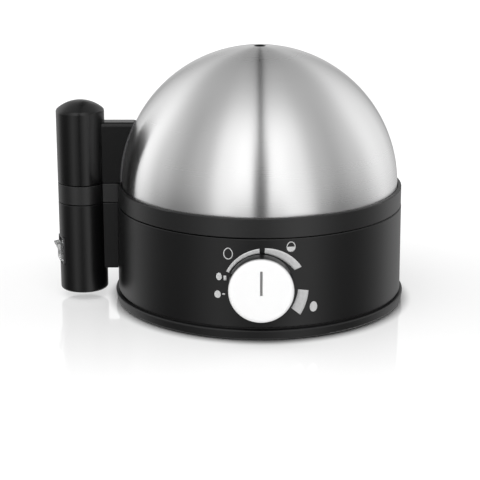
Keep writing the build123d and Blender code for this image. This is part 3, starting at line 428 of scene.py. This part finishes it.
def egg_ring(across, height, width, length):
    """An egg's outline as a thin closed band. Half the width at each height is that of an ellipse,
    times 1.06 at the blunt lower end and 0.94 at the upper one."""
    turn, out = np.meshgrid(np.linspace(0, 2 * np.pi, 49), np.array([0.0, 1.0]), indexing="ij")
    half_width = width / 2 - egg_line * (1 - out)
    half_length = length / 2 - egg_line * (1 - out)
    belly = 1 - 0.06 * np.cos(turn)
    return on_wall(across + half_width * belly * np.sin(turn), height + half_length * np.cos(turn))


def egg_fill(across, height, width, length, share):
    """The filled lower part of an egg: rows from the bottom up, each as wide as the outline there."""
    level, side = np.meshgrid(np.linspace(-0.995, 2 * share - 1.005, 20), np.linspace(1, -1, 9),
                              indexing="ij")
    half_width = width / 2 * np.sqrt(1 - level ** 2) * (1 - 0.06 * level)
    return on_wall(across + half_width * side, height + length / 2 * level)


def bar_patch(across, height, width, length):
    """A plain upright bar."""
    side, level = np.meshgrid(np.linspace(-0.5, 0.5, 4), np.linspace(-0.5, 0.5, 4), indexing="ij")
    return on_wall(across + width * side, height + length * level)


def dial_print():
    """All the print's patches in one mesh, joined where an outline closes and given the thickness
    of the ink."""
    patches = [band_patch(*band) for band in dial_bands]
    patches += [bar_patch(*bar) for bar in dial_bars]
    patches += [egg_ring(*egg[:4]) for egg in dial_eggs if egg[4] < 1]
    patches += [egg_fill(*egg) for egg in dial_eggs if egg[4] > 0]
    points, faces, first = [], [], 0
    for patch in patches:
        rows, columns, _ = patch.shape
        points.append(patch.reshape(-1, 3))
        faces.append(grid_faces(rows, columns, first))
        first += rows * columns
    piece = build_piece("dial_print", np.concatenate(points), np.concatenate(faces))
    seams = piece.modifiers.new("seams", "WELD")
    seams.merge_threshold = seam_reach
    ink = piece.modifiers.new("ink", "SOLIDIFY")
    ink.thickness = ink_lift
    return piece


dress(finish_of("housing_satin", housing_black, 0.37, (2600, 2600, 2600), 1.0e-5), "housing")
scale_print = dial_print()
scale_print.data.materials.append(finish_of("print_ink", print_grey, 0.5, (3000, 3000, 3000), 4e-6,
                                            patches=600, tone=0.5))
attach(scale_print, "base")


# Electrics in the base
# A power board on four posts carries the relay, transformer, capacitor, terminal block and
# buzzer. Silicone sleeved leads run to the heater, the switch and the timer control.
laminate_green = (0.012, 0.07, 0.028)
trace_green = (0.03, 0.14, 0.05)
solder_grey = (0.5, 0.5, 0.48)
track_line = 0.0004
track_run = 0.011
track_pitch = 0.0023
solder_dots_per_metre = 170.0
solder_reach = 0.16
solder_metal = 0.9


def board_material():
    """Glass-fibre laminate: darker lacquer, lighter tracks in runs along X, and tinned dots."""
    material = finish_of("board_laminate", laminate_green, 0.38, (2200, 2200, 2200), 1e-5, patches=60)
    tree = material.node_tree
    shader = tree.nodes["Principled BSDF"]
    place = tree.nodes.new("ShaderNodeTexCoord").outputs["Object"]
    tracks = node_at(tree, "ShaderNodeTexBrick", Scale=1.0)
    for name, value in (("Mortar Size", track_line), ("Brick Width", track_run),
                        ("Row Height", track_pitch), ("Mortar Smooth", 0.1)):
        tracks.inputs[name].default_value = value
    tree.links.new(place, tracks.inputs["Vector"])
    dots = node_at(tree, "ShaderNodeTexVoronoi", Scale=solder_dots_per_metre, Randomness=0.35)
    tree.links.new(place, dots.inputs["Vector"])
    lacquer = shader.inputs["Base Color"].links[0].from_socket
    tracked = blended(tree, tracks.outputs["Fac"], lacquer, (*trace_green, 1))
    tinned = maths(tree, "LESS_THAN", dots.outputs["Distance"], solder_reach)
    tree.links.new(blended(tree, tinned, tracked, (*solder_grey, 1)), shader.inputs["Base Color"])
    tree.links.new(maths(tree, "MULTIPLY", tinned, solder_metal), shader.inputs["Metallic"])
    return material


component_black = finish_of("component_black", (0.014, 0.014, 0.015), 0.36, (1500, 1500, 1500), 1e-5)
component_blue = finish_of("component_blue", (0.02, 0.075, 0.28), 0.32, (1400, 1400, 1400), 1e-5)
winding_tape = finish_of("winding_tape", (0.62, 0.42, 0.05), 0.3, (60, 60, 2200), 4e-5)
lead_sleeve = finish_of("lead_sleeve", (0.55, 0.54, 0.5), 0.6, (1100, 1100, 1100), 1.5e-5)
dress(board_material(), "power_board", "control_board")
dress(component_black, "relay", "buzzer", "thermostat", "potentiometer")
dress(component_blue, "capacitor", "terminal_block")
dress(winding_tape, "transformer")
dress(lead_sleeve, "wiring_leads")
dress(zinc_plated, "board_screws", "potentiometer_nut")


# Heater set under the dish
# A cast alloy plate holds the tubular element in a collar. A zinc plated bridge with two screws
# and a nut pulls it up, and a rolled alloy shield keeps the heat off the board.
cast_alloy = finish_of("cast_alloy", (0.52, 0.52, 0.53), 0.52, (420, 420, 420), 8e-5, patches=40,
                       Metallic=1.0)
rolled_alloy = finish_of("rolled_alloy", (0.7, 0.7, 0.71), 0.3, (30, 1600, 1600), 5e-6, Metallic=1.0)
annealed_sheath = finish_of("annealed_sheath", (0.2, 0.17, 0.14), 0.45, (700, 700, 700), 1e-5,
                            patches=70, tone=0.7, Metallic=1.0)
stamped_brass = finish_of("stamped_brass", (0.72, 0.5, 0.2), 0.28, (1500, 90, 90), 6e-6, Metallic=1.0)
dress(cast_alloy, "heater_plate")
dress(rolled_alloy, "heat_shield", "thermal_fuse")
dress(annealed_sheath, "heating_element")
dress(stamped_brass, "element_terminals", "switch_terminals")
dress(zinc_plated, "clamp_bridge", "bridge_screws", "clamp_nuts", "fuse_clip")


# Water dish and its gasket
# The dish is pressed from stainless sheet and satin finished in circles. It lies on a grey
# silicone ring, and the same silicone makes the pad under the lid's handle.
dish_steel = (0.56, 0.56, 0.55)
silicone_grey = (0.09, 0.09, 0.093)
along_share = 0.01


def circled_steel(name, colour, roughness, rings, **sockets):
    """Steel finished in circles about the upright axis: the grain varies with the distance from the
    axis and with the height, and hardly along the circles."""
    material = finish_of(name, colour, roughness, (rings, rings, rings), 3e-6, Metallic=1.0, **sockets)
    tree = material.node_tree
    skin = next(node for node in tree.nodes if node.type == "GROUP")
    place = tree.nodes.new("ShaderNodeTexCoord").outputs["Object"]
    split = tree.nodes.new("ShaderNodeSeparateXYZ")
    tree.links.new(place, split.inputs[0])
    x, y, z = split.outputs
    squares = maths(tree, "ADD", maths(tree, "MULTIPLY", x, x), maths(tree, "MULTIPLY", y, y))
    away = maths(tree, "SQRT", squares)
    joined = tree.nodes.new("ShaderNodeCombineXYZ")
    tree.links.new(away, joined.inputs[0])
    tree.links.new(maths(tree, "MULTIPLY", x, along_share), joined.inputs[1])
    tree.links.new(z, joined.inputs[2])
    tree.links.new(joined.outputs[0], skin.inputs["Place"])
    return material


silicone = finish_of("silicone", silicone_grey, 0.62, (1500, 1500, 1500), 1.5e-5)
dress(circled_steel("dish_satin", dish_steel, 0.3, 1400), "heating_dish")
dress(silicone, "dish_gasket", "lid_handle_gasket")


# Lower handle and its rocker switch
# The lower third of the handle is screwed to the housing from inside. It is satin black, and a
# rocker switch with a frosted clear rocker and a glow lamp behind it snaps into its outer side.
lower_black = (0.0025, 0.0025, 0.0027)
rocker_clear = (0.94, 0.95, 0.95)
dress(finish_of("lower_grip", lower_black, 0.31, (2600, 2600, 2600), 8e-6), "base_handle",
      "base_handle_cover")
dress(zinc_plated, "base_handle_screws")
dress(component_black, "switch_body")
dress(finish_of("clear_rocker", rocker_clear, 0.22, (900, 900, 900), 3e-6, Transmission_Weight=0.92,
                IOR=1.49), "rocker_cap")
dress(finish_of("lamp_glass", (0.95, 0.82, 0.7), 0.06, (300, 300, 300), 2e-6, Transmission_Weight=0.9,
                IOR=1.5), "indicator_lamp")


# Knob
# A moulded knob with a satin white face. Over the front round its colour fades to black, and the side
# behind it is black: painted shade for the knob's shaded side. A grey bar is let into the face.
face_white = (0.98, 0.98, 0.98)
# The side's black and the depth of the fade paint the shade on the knob's side and round.
painted_side_shade = (0.006, 0.006, 0.006)
painted_shade_depth = (0.0001, 0.0042)
pointer_grey = (0.2, 0.2, 0.2)


def knob_painted_shade():
    """White that fades into black over the front round, by the depth behind the front face. The fade
    and the black side behind it are painted shade.
    """
    material = finish_of("knob_satin", face_white, 0.32, (1500, 1500, 1500), 3e-6, tone=0.02, spread=0.04)
    tree = material.node_tree
    shader = tree.nodes["Principled BSDF"]
    split = tree.nodes.new("ShaderNodeSeparateXYZ")
    tree.links.new(tree.nodes.new("ShaderNodeTexCoord").outputs["Object"], split.inputs[0])
    depth = maths(tree, "SUBTRACT", split.outputs["Y"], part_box("knob_cap")[0][1])
    skin = shader.inputs["Base Color"].links[0].from_socket
    # Painted shade: the face's white fades to black over the round, and the side stays black.
    painted_shade = blended(tree, soft_step(tree, depth, *painted_shade_depth), skin, (*painted_side_shade, 1))
    tree.links.new(painted_shade, shader.inputs["Base Color"])
    return material


dress(knob_painted_shade(), "knob_cap")
dress(finish_of("pointer_satin", pointer_grey, 0.4, (2000, 2000, 2000), 4e-6), "knob_pointer")
dress(zinc_plated, "knob_shaft", "knob_clip")


# Egg tray
# One dark moulding: plate with egg collars, skirt, rim band and the middle third of the handle.
# Its skin is a little rougher than the housing's.
tray_black = (0.0035, 0.0035, 0.0037)
dress(finish_of("tray_grain", tray_black, 0.40, (2200, 2200, 2200), 1.4e-5, Specular_IOR_Level=0.68),
      "egg_tray")


# Dome
# Spun stainless sheet, brushed in circles round its axis, with its rim folded inwards and the
# edge of the steam hole turned down. It drops onto the tray's ledge.
dome_sheet = 0.0007
dome_vent = 0.0030
vent_round = 0.0008
dome_fold = 0.0016
fold_step = 0.0001
edge_step = 0.0002
vent_lip_sheet = 0.0006
dome_steel = (0.80, 0.80, 0.80)
vent_black = (0.01, 0.01, 0.01)
brush_lines = 2600.0


def arc_points(centre, radius, start, end, count):
    """Points (radius, height) of an arc: the centre plus the radius times the angle's cosine and sine."""
    angle = np.radians(np.linspace(start, end, count))
    return np.stack([centre[0] + radius * np.cos(angle), centre[1] + radius * np.sin(angle)], 1)


def dome_profile(lowest, highest):
    """Closed outline of the sheet: down the outside, round the folded rim, up the inside and back
    through the steam hole."""
    radius = highest[0]
    inner = radius - dome_sheet
    centre = highest[2] - sqrt(radius ** 2 - dome_vent ** 2)
    bend = dome_vent + vent_round
    bend_top = centre + sqrt(radius ** 2 - bend ** 2)
    lip_end = bend_top - 2 * vent_round
    top_angle = np.degrees(np.arccos(bend / radius))
    foot = lowest[2] + dome_sheet
    fold_top = lowest[2] + dome_fold
    inner_angle = np.degrees(np.arccos((bend + edge_step) / inner))
    return np.concatenate([
        arc_points((0, centre), radius, top_angle, 0, 90),
        np.array([(radius, (centre + foot) / 2)]),
        arc_points((inner, foot), dome_sheet, 0, -180, 9),
        np.array([(inner - dome_sheet, fold_top), (inner - fold_step, fold_top + edge_step)]),
        arc_points((0, centre), inner, 0, inner_angle, 70),
        np.array([(dome_vent + vent_lip_sheet, lip_end), (dome_vent, lip_end)]),
        arc_points((bend, bend_top - vent_round), vent_round, 180, 100, 6),
    ])


def turned_sheet(name, profile, steps=224):
    """A closed profile carried round the upright axis: x and y are the radius times the turn's cosine
    and sine. The brush attribute holds the turn's cosine and sine and the way along the profile."""
    turn = np.linspace(0, 2 * np.pi, steps, endpoint=False)
    count = len(profile)
    across = np.stack([np.cos(turn), np.sin(turn)], 1)
    flat = across[:, None, :] * profile[None, :, :1]
    upright = np.broadcast_to(profile[None, :, 1:], (steps, count, 1))
    points = np.concatenate([flat, upright], 2).reshape(-1, 3)
    row, column = np.meshgrid(np.arange(steps), np.arange(count), indexing="ij")
    next_row, next_column = (row + 1) % steps, (column + 1) % count
    faces = np.stack([row * count + column, row * count + next_column, next_row * count + next_column,
                      next_row * count + column], 2).reshape(-1, 4)
    piece = build_piece(name, points, faces)
    along = np.concatenate([[0], np.cumsum(np.hypot(*np.diff(profile, axis=0).T))])
    brush = np.concatenate([np.broadcast_to(across[:, None, :] * 0.002, (steps, count, 2)),
                            np.broadcast_to(along[None, :, None], (steps, count, 1))], 2)
    layer = piece.data.attributes.new("brush", "FLOAT_VECTOR", "POINT")
    layer.data.foreach_set("vector", brush.astype(np.float32).ravel())
    return piece


def brushed_dome():
    """Steel with a fine brush along its circles, coloured black within the steam hole's rounded edge.
    The highlight spreads across the brush."""
    material = finish_of("dome_brushed", dome_steel, 0.28, (900, 900, brush_lines), 1.2e-6, patches=60,
                         tone=0.05, spread=0.06, place="brush", Metallic=1.0, Anisotropic=0.99,
                         Anisotropic_Rotation=0.25)
    tree = material.node_tree
    shader = tree.nodes["Principled BSDF"]
    circles = node_at(tree, "ShaderNodeTangent", direction_type="RADIAL", axis="Z")
    tree.links.new(circles.outputs[0], shader.inputs["Tangent"])
    flat = node_at(tree, "ShaderNodeVectorMath", operation="MULTIPLY")
    tree.links.new(tree.nodes.new("ShaderNodeTexCoord").outputs["Object"], flat.inputs[0])
    flat.inputs[1].default_value = (1, 1, 0)
    away = node_at(tree, "ShaderNodeVectorMath", operation="LENGTH")
    tree.links.new(flat.outputs[0], away.inputs[0])
    steel = shader.inputs["Base Color"].links[0].from_socket
    edge = maths(tree, "LESS_THAN", away.outputs["Value"], dome_vent + vent_round)
    tree.links.new(blended(tree, edge, steel, (*vent_black, 1)), shader.inputs["Base Color"])
    return material


steel_dome = turned_sheet("steel_dome", dome_profile(*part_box("lid_dome")))
steel_dome.data.materials.append(brushed_dome())
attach(steel_dome, "lid")
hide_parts("lid_dome")


# Lid handle
# The upper third of the handle is moulded in gloss black. Two screws from inside the dome pull
# its web against a thin silicone pad, and a plug closes its lower end.
gloss_black = (0.0025, 0.0025, 0.0026)
dress(finish_of("gloss_grip", gloss_black, 0.25, (160, 160, 160), 2e-6, spread=0.06,
                Specular_IOR_Level=0.45), "lid_handle", "lid_handle_cover")
dress(zinc_plated, "lid_handle_screws")
